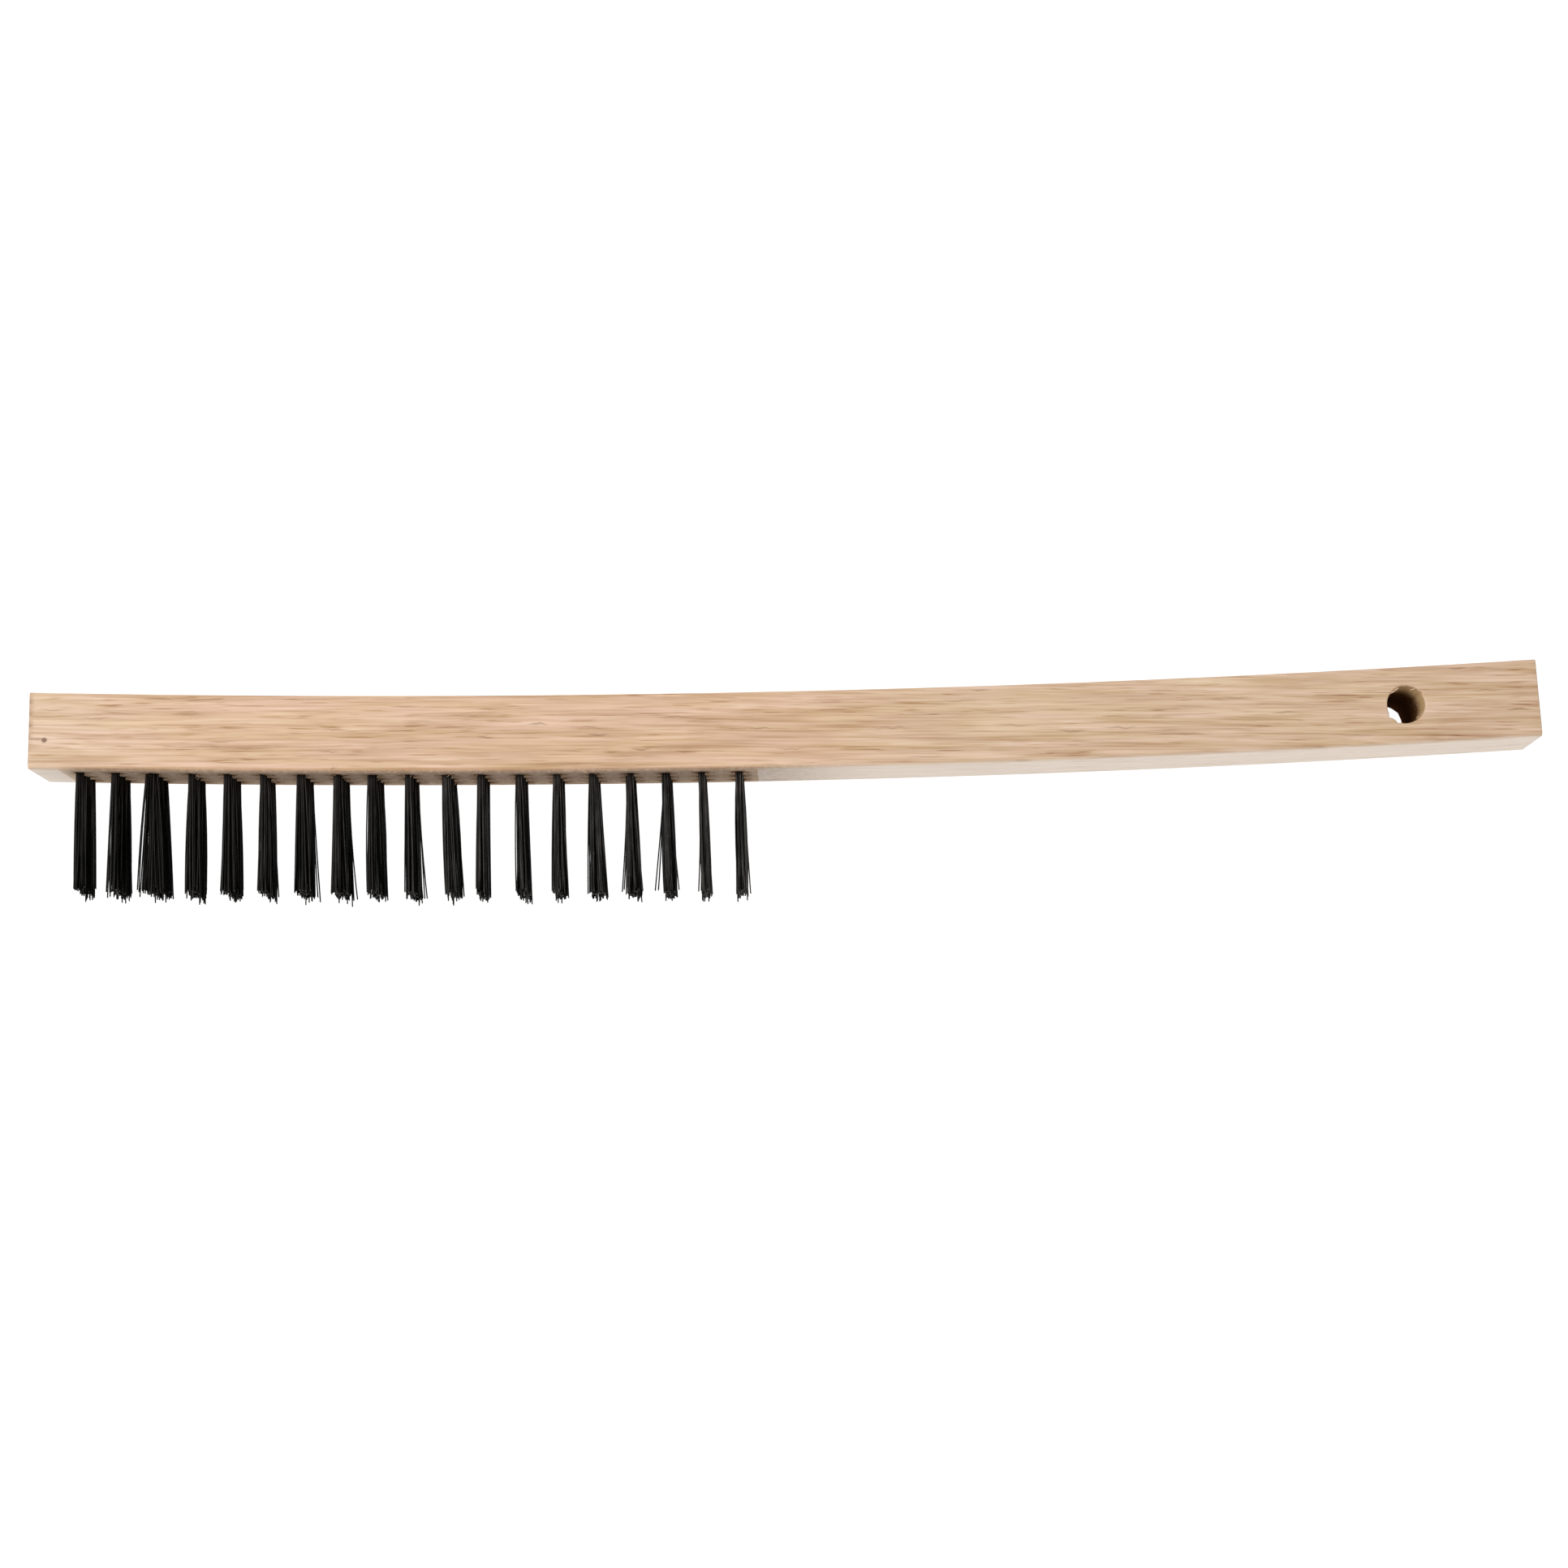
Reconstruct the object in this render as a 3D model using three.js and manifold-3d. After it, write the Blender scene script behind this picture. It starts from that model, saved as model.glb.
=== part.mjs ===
// Curved-handle wire scratch brush: one hardwood bar, bent in a shallow arc,
// with three rows of steel wire tufts set in blind holes along its head and a
// hang hole through the far end of its handle.
// Millimetres, +Z up. The brush lies on its side: +X runs from the nose of the
// head to the handle end, the wires point to -Y, and the handle rises to +Y.
import * as THREE from "three";
import { mergeVertices } from "three/addons/utils/BufferGeometryUtils.js";
import Module from "manifold-3d";

// Bar, cut square at both ends.
const BAR_LENGTH = 355.6; // 14 in along its middle line
const BAR_HEIGHT = 18.3; // from the tufted face to the back
const BAR_WIDTH = 22.2; // 7/8 in across the rows of tufts
const BEND_RADIUS = 4284; // of the middle line, with its centre on the +Y side
const NOSE_TO_LOW_POINT = 90.1; // the middle line runs along X there
const EDGE_EASE = 0.3; // sanding of the edges of the two flat sides
const BACK_CORNER_EASE = 0.5; // sanding of the ends' corners at the back
const FRONT_CORNER_EASE = 1.0; // and at the tufted face
const BEND_STEPS = 16;

// Hang hole, square to the bar's two flat sides.
const HANG_HOLE_RADIUS = 4.45;
const HANG_HOLE_TO_END = 31.4;
const HANG_HOLE_SIDES = 28;

// Tuft pattern, on the tufted face.
const ROW_NAMES = ["a", "b", "c"]; // from the upper side to the lower one
const ROW_PITCH = 6;
const COLUMNS = 19;
const COLUMN_PITCH = 8.65;
const NOSE_TO_FIRST_COLUMN = 11.5;

// Tuft hole, blind.
const TUFT_HOLE_RADIUS = 1.35;
const TUFT_HOLE_DEPTH = 11;
const TUFT_HOLE_SIDES = 12;

// Tuft: wires folded in half at the bottom of the hole and fanning outwards.
const TRIM = 28; // from the tufted face to the wire tips
const TUFT_FOLD_RADIUS = 0.6;
const TUFT_ROOT_RADIUS = 1.05;
const TUFT_TIP_RADIUS = 1.6;
const TUFT_FOLD_DEPTH = 10.2; // from the tufted face to the fold
const TUFT_FOLD_ROUNDING = 1.2;
const TUFT_SIDES = 10;

// Anchor: the flat wire driven across each fold, which holds the tuft.
const ANCHOR_WIDTH = 2.0;
const ANCHOR_HEIGHT = 2.4;
const ANCHOR_THICKNESS = 0.5;
const ANCHOR_DEPTH = 10.6; // from the tufted face to its inner edge

const wasm = await Module();
wasm.setup();

// A closed three.js geometry as a solid that can be cut and joined.
function solidFrom(geometry) {
  const bare = geometry.clone();
  bare.deleteAttribute("normal");
  bare.deleteAttribute("uv");
  const merged = mergeVertices(bare, 1e-4);
  return new wasm.Manifold(
    new wasm.Mesh({
      numProp: 3,
      vertProperties: new Float32Array(merged.attributes.position.array),
      triVerts: new Uint32Array(merged.index.array),
    }),
  );
}

function geometryFrom(solid) {
  const { vertProperties, triVerts } = solid.getMesh();
  const indexed = new THREE.BufferGeometry();
  indexed.setAttribute("position", new THREE.BufferAttribute(vertProperties, 3));
  indexed.setIndex(new THREE.BufferAttribute(triVerts, 1));
  const flat = indexed.toNonIndexed();
  flat.computeVertexNormals();
  return flat;
}

// A place on the bent bar: along is the distance from the nose on the middle
// line, and out is the distance from that line towards the wire tips. The low
// point of the middle line is at x = 0, y = 0. turn is the bar's slope there.
function onBar(along, out) {
  const turn = (along - NOSE_TO_LOW_POINT) / BEND_RADIUS;
  const radius = BEND_RADIUS + out;
  return {
    x: radius * Math.sin(turn),
    y: BEND_RADIUS - radius * Math.cos(turn),
    turn,
  };
}

// The bar's side outline as a straight rectangle with eased corners, its long
// sides in steps, and each of its points then carried onto the bend.
function barOutline() {
  const half = BAR_HEIGHT / 2;
  const front = FRONT_CORNER_EASE;
  const back = BACK_CORNER_EASE;
  const corners = [
    { along: BAR_LENGTH - front, out: half - front, ease: front, start: Math.PI / 2 },
    { along: BAR_LENGTH - back, out: back - half, ease: back, start: 0 },
    { along: back, out: back - half, ease: back, start: -Math.PI / 2 },
    { along: front, out: half - front, ease: front, start: -Math.PI },
  ];
  const straight = [];
  for (const { along, out, ease, start } of corners) {
    for (const share of [0, 1 / 3, 2 / 3, 1]) {
      const angle = start - (share * Math.PI) / 2;
      straight.push([along + ease * Math.cos(angle), out + ease * Math.sin(angle)]);
    }
    // The steps of the long side that starts at this corner's last point.
    const towardsNose = start === 0;
    const towardsHandle = start === -Math.PI;
    if (towardsNose || towardsHandle) {
      const span = BAR_LENGTH - 2 * ease;
      for (let step = 1; step < BEND_STEPS; step += 1) {
        const moved = (span * step) / BEND_STEPS;
        const at = towardsHandle ? ease + moved : BAR_LENGTH - ease - moved;
        straight.push([at, towardsHandle ? half : -half]);
      }
    }
  }
  return straight.map(([along, out]) => {
    const { x, y } = onBar(along, out);
    return new THREE.Vector2(x, y);
  });
}

function columnAlong(column) {
  return NOSE_TO_FIRST_COLUMN + column * COLUMN_PITCH;
}

function rowHeight(row) {
  return BAR_WIDTH / 2 + (1 - row) * ROW_PITCH;
}

// Calls place(row, column, x, y, z, turn) for the mouth of each tuft hole.
function forEachTuft(place) {
  for (let row = 0; row < ROW_NAMES.length; row += 1) {
    for (let column = 0; column < COLUMNS; column += 1) {
      const { x, y, turn } = onBar(columnAlong(column), BAR_HEIGHT / 2);
      place(row, column, x, y, rowHeight(row), turn);
    }
  }
}

// The bar between its two flat sides, with all its holes.
function makeBar() {
  const blank = new THREE.ExtrudeGeometry(new THREE.Shape(barOutline()), {
    depth: BAR_WIDTH - 2 * EDGE_EASE,
    bevelEnabled: true,
    bevelThickness: EDGE_EASE,
    bevelSize: EDGE_EASE,
    bevelOffset: -EDGE_EASE,
    bevelSegments: 2,
  });
  blank.translate(0, 0, EDGE_EASE);
  let bar = solidFrom(blank);

  const through = new THREE.CylinderGeometry(
    HANG_HOLE_RADIUS,
    HANG_HOLE_RADIUS,
    2 * BAR_WIDTH,
    HANG_HOLE_SIDES,
  );
  const hang = onBar(BAR_LENGTH - HANG_HOLE_TO_END, 0);
  through.rotateX(Math.PI / 2).translate(hang.x, hang.y, BAR_WIDTH / 2);
  bar = bar.subtract(solidFrom(through));

  // The drill for one tuft hole starts as far outside the wood as it goes in.
  forEachTuft((row, column, x, y, z, turn) => {
    const drill = new THREE.CylinderGeometry(
      TUFT_HOLE_RADIUS,
      TUFT_HOLE_RADIUS,
      2 * TUFT_HOLE_DEPTH,
      TUFT_HOLE_SIDES,
    );
    drill.rotateZ(turn).translate(x, y, z);
    bar = bar.subtract(solidFrom(drill));
  });
  return geometryFrom(bar);
}

// One tuft about its own axis: the hole's mouth is at the origin, +Y goes into
// the wood and -Y to the tips. Its anchor crosses the fold.
function makeTuft() {
  const profile = [
    [0, -TRIM],
    [TUFT_TIP_RADIUS, -TRIM],
    [TUFT_ROOT_RADIUS, 0],
    [TUFT_ROOT_RADIUS, TUFT_FOLD_DEPTH - TUFT_FOLD_ROUNDING],
    [TUFT_FOLD_RADIUS, TUFT_FOLD_DEPTH],
    [0, TUFT_FOLD_DEPTH],
  ];
  const points = profile.map(([radius, y]) => new THREE.Vector2(radius, y));
  const wires = new THREE.LatheGeometry(points, TUFT_SIDES);
  const anchor = new THREE.BoxGeometry(ANCHOR_WIDTH, ANCHOR_HEIGHT, ANCHOR_THICKNESS);
  anchor.translate(0, ANCHOR_DEPTH - ANCHOR_HEIGHT / 2, 0);
  return geometryFrom(solidFrom(wires).add(solidFrom(anchor)));
}

function bareHardwood() {
  return new THREE.MeshStandardMaterial({ color: 0xd8b99c, roughness: 0.75, metalness: 0 });
}

function blackenedSteel() {
  return new THREE.MeshStandardMaterial({ color: 0x1e1d1c, roughness: 0.45, metalness: 0.8 });
}

const brush = new THREE.Group();

const bar = new THREE.Mesh(makeBar(), bareHardwood());
bar.name = "handle_block";
brush.add(bar);

const tuftGeometry = makeTuft();
forEachTuft((row, column, x, y, z, turn) => {
  const tuft = new THREE.Mesh(tuftGeometry, blackenedSteel());
  const number = String(column + 1).padStart(2, "0");
  tuft.name = `wire_tuft_${ROW_NAMES[row]}${number}`;
  tuft.rotation.z = turn;
  tuft.position.set(x, y, z);
  brush.add(tuft);
});

// The origin goes to the middle of the bottom of the whole brush's box.
const extent = new THREE.Box3().setFromObject(brush, true);
const middle = extent.getCenter(new THREE.Vector3());
brush.position.set(-middle.x, -middle.y, -extent.min.z);

export default brush;
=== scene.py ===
"""Curved-handle wire scratch brush, lying on its side: a bare hardwood bar with three rows of
black steel wire tufts set in blind holes along its head, and a hang hole near the handle end.

Metres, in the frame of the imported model: +X from the nose to the handle end, the wires point to
-Y, +Z up. The bar is worked out straight, as (along, out, up), and then carried onto its bend:
along is the distance from the nose on the middle line, out the distance from that line towards
the wire tips, and up the height above the lower flat side.
"""
import math

import bmesh
import bpy
import numpy as np
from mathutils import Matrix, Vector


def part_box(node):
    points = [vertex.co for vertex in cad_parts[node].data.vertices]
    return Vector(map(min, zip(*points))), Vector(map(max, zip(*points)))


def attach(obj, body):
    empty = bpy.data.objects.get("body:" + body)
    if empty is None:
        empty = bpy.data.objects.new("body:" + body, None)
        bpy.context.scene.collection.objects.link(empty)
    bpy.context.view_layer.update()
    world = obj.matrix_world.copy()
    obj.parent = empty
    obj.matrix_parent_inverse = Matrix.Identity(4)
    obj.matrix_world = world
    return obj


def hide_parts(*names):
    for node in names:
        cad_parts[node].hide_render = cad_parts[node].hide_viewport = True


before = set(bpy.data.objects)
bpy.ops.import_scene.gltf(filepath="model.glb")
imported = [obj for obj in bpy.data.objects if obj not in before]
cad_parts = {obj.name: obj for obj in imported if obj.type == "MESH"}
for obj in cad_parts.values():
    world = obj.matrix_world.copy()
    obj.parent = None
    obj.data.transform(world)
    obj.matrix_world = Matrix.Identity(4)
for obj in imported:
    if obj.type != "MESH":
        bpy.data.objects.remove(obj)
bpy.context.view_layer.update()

MM = 0.001
SEED = 57

# ---------------------------------------------------------------- the bar's dimensions
bar_low, bar_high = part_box("handle_block")
BAR_LENGTH = 355.6 * MM
BAR_HEIGHT = 18.3 * MM
BAR_WIDTH = bar_high.z - bar_low.z
BEND_RADIUS = 4284 * MM
NOSE_TO_LOW_POINT = 90.1 * MM
HALF = BAR_HEIGHT / 2

# Sanding: the long edges by the tufts are the rounder ones.
FRONT_EASE = 1.1 * MM
BACK_EASE = 0.35 * MM
END_EASE = 0.3 * MM

HANG_HOLE_RADIUS = 4.45 * MM
HANG_HOLE_ALONG = BAR_LENGTH - 31.4 * MM
# The drill wandered: how far each mouth is from the hole's true place, (along, out).
UPPER_MOUTH_OFF = (0.1 * MM, -0.2 * MM)
LOWER_MOUTH_OFF = (-1.6 * MM, 0.95 * MM)

NOSE_SKEW = 0.5 * MM

ROWS = "abc"
ROW_PITCH = 6 * MM
COLUMNS = 19
COLUMN_PITCH = 8.65 * MM
NOSE_TO_FIRST_COLUMN = 11.5 * MM
TUFT_HOLE_RADIUS = 1.35 * MM
TUFT_HOLE_DEPTH = 11 * MM
DRILL_POINT = 0.8 * MM

# Each column's own character, drawn at random: how far its holes are drilled off their place,
# how full its tufts are, how much their tips are splayed, and how far they lean beyond the
# general lean. The distances are towards the handle, in millimetres.
column_rng = np.random.default_rng(SEED + 3)
COLUMN_WANDER = column_rng.uniform(-0.4, 0.4, COLUMNS)
COLUMN_FULLNESS = column_rng.uniform(0.90, 1.12, COLUMNS)
COLUMN_SPLAY = column_rng.uniform(0.90, 1.35, COLUMNS)
COLUMN_LEAN = column_rng.uniform(-0.6, 0.2, COLUMNS)
# The third column is the fullest and the sixth the thinnest.
COLUMN_FULLNESS[2], COLUMN_SPLAY[2] = 1.4, 1.5
COLUMN_FULLNESS[5] = 0.75

TRIM = 28 * MM
WIRE_RADIUS = 0.17 * MM

# The nose's front corner is the bar's lowest x, and the bend's low point its lowest y.
NOSE_REACH = FRONT_EASE + (BEND_RADIUS + HALF - FRONT_EASE) * math.sin(
    (NOSE_TO_LOW_POINT - FRONT_EASE) / BEND_RADIUS
)
LOW_POINT_X = bar_low.x + NOSE_REACH
LOW_POINT_Y = bar_low.y + HALF


def on_bar(along, out, up):
    """Straight bar coordinates to the frame: the arc of radius R + out at the angle
    (along - low point) / R, about a centre R above the low point on the +Y side."""
    turn = (np.asarray(along) - NOSE_TO_LOW_POINT) / BEND_RADIUS
    radius = BEND_RADIUS + out
    x = LOW_POINT_X + radius * np.sin(turn)
    y = LOW_POINT_Y + BEND_RADIUS - radius * np.cos(turn)
    return np.stack(np.broadcast_arrays(x, y, up), axis=-1)


def off_bar(place):
    """The reverse of on_bar: (along, out, up) of an (n, 3) array of places in the frame."""
    across = place[:, 0] - LOW_POINT_X
    down = LOW_POINT_Y + BEND_RADIUS - place[:, 1]
    along = NOSE_TO_LOW_POINT + BEND_RADIUS * np.arctan2(across, down)
    return along, np.hypot(across, down) - BEND_RADIUS, place[:, 2]


def tuft_along(column):
    """The middle of a column's cell; its holes are COLUMN_WANDER from there."""
    return NOSE_TO_FIRST_COLUMN + column * COLUMN_PITCH


def drilled_along(column):
    return tuft_along(column) + COLUMN_WANDER[column] * MM


def tuft_up(row):
    return BAR_WIDTH / 2 + (1 - row) * ROW_PITCH


# ---------------------------------------------------------------- mesh helpers
def grid_quads(rows, columns, closed=False):
    """The quads of a grid of rows x columns points, joined round from the last column to the
    first where it is closed."""
    index = np.arange(rows * columns).reshape(rows, columns)
    right = np.roll(index, -1, axis=1)
    if not closed:
        index, right = index[:, :-1], right[:, :-1]
    return np.stack([index[:-1], right[:-1], right[1:], index[1:]], axis=-1).reshape(-1, 4)


def make_piece(name, points, faces, materials, face_materials=None, weld=False, sharp=None):
    """A mesh object at the origin from an (n, 3) array and a list of faces."""
    mesh = bpy.data.meshes.new(name)
    mesh.from_pydata(points.tolist(), [], faces)
    for material in materials:
        mesh.materials.append(material)
    if face_materials is not None:
        mesh.polygons.foreach_set("material_index", np.asarray(face_materials, np.int32))
    if weld:
        work = bmesh.new()
        work.from_mesh(mesh)
        bmesh.ops.remove_doubles(work, verts=work.verts, dist=1e-7)
        bmesh.ops.recalc_face_normals(work, faces=work.faces)
        work.to_mesh(mesh)
        work.free()
    mesh.shade_smooth()
    if sharp is not None:
        mesh.set_sharp_from_angle(angle=math.radians(sharp))
    mesh.update()
    piece = bpy.data.objects.new(name, mesh)
    bpy.context.scene.collection.objects.link(piece)
    return piece


def store_on_points(mesh, name, values):
    """One number for each point of a mesh, for its material to read by name."""
    layer = mesh.attributes.new(name, "FLOAT", "POINT")
    layer.data.foreach_set("value", np.asarray(values, np.float32))


def rise(value, low, high):
    """0 below low and 1 above high, with a smooth rise between."""
    share = np.clip((value - low) / (high - low), 0, 1)
    return share * share * (3 - 2 * share)


# ---------------------------------------------------------------- node helpers
def give(tree, value, socket):
    """Link another node's socket to this one, or set a plain value on it."""
    if isinstance(value, bpy.types.NodeSocket):
        tree.links.new(value, socket)
    else:
        socket.default_value = value


def add_node(tree, kind, inputs=None, **settings):
    """A shader node with its settings, and each input given as a value or another's socket."""
    made = tree.nodes.new(kind)
    for key, value in settings.items():
        setattr(made, key, value)
    for key, value in (inputs or {}).items():
        give(tree, value, made.inputs[key])
    return made


def arithmetic(tree, operation, a, b=0.0, c=0.0, clamp=False):
    made = add_node(tree, "ShaderNodeMath", {0: a, 1: b, 2: c}, operation=operation)
    made.use_clamp = clamp
    return made.outputs[0]


def vector_maths(tree, operation, a, b):
    return add_node(tree, "ShaderNodeVectorMath", {0: a, 1: b}, operation=operation).outputs[0]


def vector_scale(tree, vector, scale):
    given = {0: vector, "Scale": scale}
    return add_node(tree, "ShaderNodeVectorMath", given, operation="SCALE").outputs[0]


def vector_length(tree, vector):
    return add_node(tree, "ShaderNodeVectorMath", {0: vector}, operation="LENGTH").outputs["Value"]


def smooth_step(tree, value, low, high):
    """0 below low and 1 above high, with a smooth rise between."""
    made = add_node(
        tree,
        "ShaderNodeMapRange",
        {"Value": value, "From Min": low, "From Max": high},
        interpolation_type="SMOOTHSTEP",
    )
    return made.outputs["Result"]


def noise_at(tree, place, scale, detail=2.0):
    given = {"Vector": place, "Scale": scale, "Detail": detail}
    return add_node(tree, "ShaderNodeTexNoise", given).outputs


def mix_colour(tree, share, first, second, blend="MIX"):
    made = add_node(tree, "ShaderNodeMix", data_type="RGBA", blend_type=blend)
    for key, value in (("Factor", share), ("A", first), ("B", second)):
        give(tree, value, next(s for s in made.inputs if s.name == key and s.enabled))
    return next(s for s in made.outputs if s.enabled)


def colour_ramp(tree, value, stops):
    """The colour of a value between 0 and 1, from a rising list of (position, colour)."""
    made = add_node(tree, "ShaderNodeValToRGB", {"Fac": value})
    ramp = made.color_ramp.elements
    while len(ramp) < len(stops):
        ramp.new(1.0)
    for element, (position, colour) in zip(ramp, stops):
        element.position, element.color = position, colour
    return made.outputs["Color"]


def new_group(name, inputs, outputs):
    """An empty node group with named sockets, and its input and output nodes."""
    tree = bpy.data.node_groups.new(name, "ShaderNodeTree")
    kinds = {"vector": "NodeSocketVector", "value": "NodeSocketFloat", "colour": "NodeSocketColor"}
    for label, (kind, default) in inputs.items():
        socket = tree.interface.new_socket(label, in_out="INPUT", socket_type=kinds[kind])
        if default is not None:
            socket.default_value = default
    for label, kind in outputs.items():
        tree.interface.new_socket(label, in_out="OUTPUT", socket_type=kinds[kind])
    return tree, tree.nodes.new("NodeGroupInput").outputs, tree.nodes.new("NodeGroupOutput").inputs


def use_group(tree, group, inputs):
    made = tree.nodes.new("ShaderNodeGroup")
    made.node_tree = group
    for key, value in inputs.items():
        give(tree, value, made.inputs[key])
    return made.outputs


def new_material(name):
    """A material with only a Principled BSDF and its output."""
    material = bpy.data.materials.new(name)
    material.use_nodes = True
    return material, material.node_tree, material.node_tree.nodes["Principled BSDF"]


# ---------------------------------------------------------------- shared effects
def streak_group():
    """Streaks that run along X: noise on a place in millimetres, divided by the streak's length
    along the grain and by its thickness across it. From and To cut the noise to 0 and 1."""
    tree, given, result = new_group(
        "grain streaks",
        {
            "Place": ("vector", None), "Length": ("value", 10.0), "Thickness": ("value", 0.5),
            "Shift": ("value", 0.0), "Detail": ("value", 2.0),
            "From": ("value", 0.3), "To": ("value", 0.7),
        },
        {"Streaks": "value"},
    )
    across = arithmetic(tree, "DIVIDE", 1.0, given["Thickness"])
    along = arithmetic(tree, "DIVIDE", 1.0, given["Length"])
    scale = add_node(tree, "ShaderNodeCombineXYZ", {"X": along, "Y": across, "Z": across})
    stretched = vector_maths(tree, "MULTIPLY", given["Place"], scale.outputs[0])
    values = {"Vector": stretched, "W": given["Shift"], "Detail": given["Detail"]}
    values.update({"Scale": 1.0, "Roughness": 0.55})
    noise = add_node(tree, "ShaderNodeTexNoise", values, noise_dimensions="4D")
    cut = smooth_step(tree, noise.outputs["Fac"], given["From"], given["To"])
    tree.links.new(cut, result["Streaks"])
    return tree


def sway_group():
    """A place moved across the grain by slow noise, so that streaks wander as they run."""
    tree, given, result = new_group(
        "grain sway",
        {"Place": ("vector", None), "Length": ("value", 90.0), "Amount": ("value", 2.0)},
        {"Place": "vector"},
    )
    along = arithmetic(tree, "DIVIDE", 1.0, given["Length"])
    scale = add_node(tree, "ShaderNodeCombineXYZ", {"X": along, "Y": 0.045, "Z": 0.045})
    slow = vector_maths(tree, "MULTIPLY", given["Place"], scale.outputs[0])
    noise = noise_at(tree, slow, 1.0, 1.5)
    centred = vector_maths(tree, "SUBTRACT", noise["Color"], (0.5, 0.5, 0.5))
    across = vector_maths(tree, "MULTIPLY", centred, (0.0, 1.0, 1.0))
    push = vector_scale(tree, across, given["Amount"])
    tree.links.new(vector_maths(tree, "ADD", given["Place"], push), result["Place"])
    return tree


def growth_ring_group():
    """Growth rings round a pith line along X: the distance from it, cut into rings. Each ring
    rises fast to 1 in its porous early wood and falls slowly through its late wood."""
    tree, given, result = new_group(
        "growth rings",
        {
            "Place": ("vector", None),
            "Pith": ("vector", (0.0, -48.0, -21.0)),
            "Spacing": ("value", 2.3),
        },
        {"Early": "value"},
    )
    from_pith = vector_maths(tree, "SUBTRACT", given["Place"], given["Pith"])
    flat = vector_maths(tree, "MULTIPLY", from_pith, (0.0, 1.0, 1.0))
    rings = arithmetic(tree, "DIVIDE", vector_length(tree, flat), given["Spacing"])
    phase = arithmetic(tree, "FRACT", rings)
    up = smooth_step(tree, phase, 0.0, 0.10)
    down = smooth_step(tree, phase, 0.18, 0.80)
    tree.links.new(arithmetic(tree, "SUBTRACT", up, down, clamp=True), result["Early"])
    return tree


STREAKS = streak_group()
SWAY = sway_group()
GROWTH_RINGS = growth_ring_group()


def streaks(tree, place, length, thickness, shift, cut, detail=2.0):
    values = {"Place": place, "Length": length, "Thickness": thickness, "Shift": shift}
    values.update({"Detail": detail, "From": cut[0], "To": cut[1]})
    return use_group(tree, STREAKS, values)["Streaks"]


def object_place(tree):
    """The Object coordinates in millimetres."""
    return vector_scale(tree, add_node(tree, "ShaderNodeTexCoord").outputs["Object"], 1 / MM)


def point_value(tree, name):
    return add_node(tree, "ShaderNodeAttribute", attribute_name=name).outputs["Fac"]


def near(tree, place, centre, size):
    """1 inside an ellipsoid of the given half-sizes and 0 outside it, with a soft rim."""
    offset = vector_maths(tree, "SUBTRACT", place, centre)
    reach = vector_length(tree, vector_maths(tree, "DIVIDE", offset, size))
    return arithmetic(tree, "SUBTRACT", 1.0, smooth_step(tree, reach, 0.55, 1.1))


# ---------------------------------------------------------------- materials
GRAIN_TONES = (
    (0.00, (0.235, 0.105, 0.038, 1)),
    (0.22, (0.420, 0.245, 0.128, 1)),
    (0.42, (0.555, 0.378, 0.235, 1)),
    (0.58, (0.640, 0.455, 0.308, 1)),
    (0.80, (0.725, 0.545, 0.395, 1)),
    (1.00, (0.790, 0.620, 0.475, 1)),
)
OLIVE_TINT = (0.985, 0.980, 0.91, 1)
PINK_TINT = (1.015, 0.995, 1.04, 1)
DASH_BROWN = (0.230, 0.105, 0.042, 1)
WARM_TINT = (0.985, 0.925, 0.885, 1)
KNOT_BROWN = (0.130, 0.048, 0.018, 1)
# painted sheen on the tufted face
SHEEN_TINT = (0.800, 0.715, 0.620, 1)
WOOD_CHECK = (0.100, 0.042, 0.016, 1)
END_EARLY = (0.330, 0.195, 0.105, 1)
END_LATE = (0.500, 0.330, 0.205, 1)
DRILLED_WOOD = (0.560, 0.385, 0.190, 1)
# painted shade deeper in the holes
HOLE_SHADE_BROWN = (0.100, 0.042, 0.016, 1)
DEEP_HOLE_SHADE_BROWN = (0.050, 0.018, 0.007, 1)
# painted shade between the tufts
PAINTED_SHADE_BROWN = (0.140, 0.062, 0.020, 1)
WIRE_BLACK = (0.0022, 0.0020, 0.0018, 1)
WIRE_GREY = (0.017, 0.0158, 0.0143, 1)
# painted highlight streaks along the wires
WIRE_STREAK_HIGHLIGHT = (0.08, 0.075, 0.07, 1)
# painted brown shade at the wire roots
WIRE_BROWN = (0.020, 0.008, 0.004, 1)
STEEL_DARK = (0.030, 0.028, 0.026, 1)
STEEL_LIGHT = (0.13, 0.125, 0.12, 1)

# The layers of the long grain, from the widest to the finest: length and thickness in
# millimetres, the noise's own shift and detail, the cut, and how much it moves the tone.
GRAIN_LAYERS = (
    (30, 6.5, 12.3, 1.0, (0.34, 0.66), 0.07),
    (80, 4.0, 3.1, 1.0, (0.30, 0.70), 0.11),
    (42, 1.7, 5.2, 1.0, (0.30, 0.70), 0.13),
    (26, 0.80, 7.7, 1.5, (0.30, 0.70), 0.18),
    (16, 0.42, 1.7, 1.0, (0.32, 0.68), 0.24),
    (14, 0.60, 6.6, 0.0, (0.62, 0.76), 0.15),
)

GRAIN_DASHES = 40  # darker dashes in the upper flat side


def dash_sizes():
    """The dashes as (along, out, half length, half width, strength), in millimetres: one at
    random in each equal stretch of the bar, anywhere across it. Short ones are the most common,
    and a dash is fainter the longer it is."""
    rng = np.random.default_rng(SEED + 2)
    stretch = BAR_LENGTH / MM / GRAIN_DASHES
    along = (np.arange(GRAIN_DASHES) + rng.random(GRAIN_DASHES)) * stretch
    out = rng.uniform(-0.9, 0.9, GRAIN_DASHES) * HALF / MM
    half_length = 2.8 + rng.gamma(2.0, 1.3, GRAIN_DASHES)
    half_width = rng.uniform(0.20, 0.42, GRAIN_DASHES)
    strength = np.clip(2.2 / half_length, 0.25, 0.60)
    return np.stack([along, out, half_length, half_width, strength], axis=1).tolist()


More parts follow.
